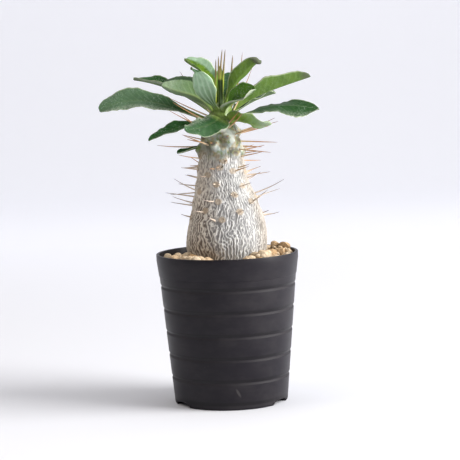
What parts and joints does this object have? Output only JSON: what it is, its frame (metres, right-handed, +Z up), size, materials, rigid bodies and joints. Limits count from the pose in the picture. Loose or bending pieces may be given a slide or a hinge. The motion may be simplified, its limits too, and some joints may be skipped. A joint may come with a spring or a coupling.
{
  "type": "potted kudu lily",
  "caption": "Potted caudex plant: a swollen, net-barked stem with paired spines and a crown of waved leaves, standing in grit in a round tapered nursery pot.",
  "frame": {"origin": "centre of the flat underside of the pot, on the plane that it rests on", "axes": "+Z up along the pot's axis, which is the object's longest extent; -Y towards the side that is looked at; +X to that viewer's right"},
  "size_m": [0.139, 0.1074, 0.2233],
  "materials": {
    "pot": "thin moulded polypropylene, soft sheen, light scuffs",
    "soil": "dry fired-clay and pumice granules, chalky",
    "stem": "dry grey bark in a raised net, waxy skin at the neck, horny spines",
    "leaf": "thick waxy leaf, glossy above and matt beneath",
    "young_leaf": "soft young leaf, satin"
  },
  "bodies": {
    "root": {"pot": "pot", "soil": "soil", "stem": "stem", "leaf_01": "leaf", "leaf_02": "leaf", "leaf_03": "leaf", "leaf_04": "leaf", "leaf_05": "leaf", "leaf_06": "leaf", "leaf_07": "leaf", "leaf_08": "leaf", "leaf_09": "leaf", "leaf_10": "leaf", "leaf_11": "leaf", "leaf_12": "leaf", "leaf_13": "leaf", "leaf_14": "leaf", "leaf_15": "leaf", "leaf_16": "leaf", "leaf_17": "leaf", "leaf_18": "leaf", "leaf_19": "leaf", "leaf_20": "leaf", "young_leaf_1": "young_leaf", "young_leaf_2": "young_leaf"}
  },
  "joints": []
}
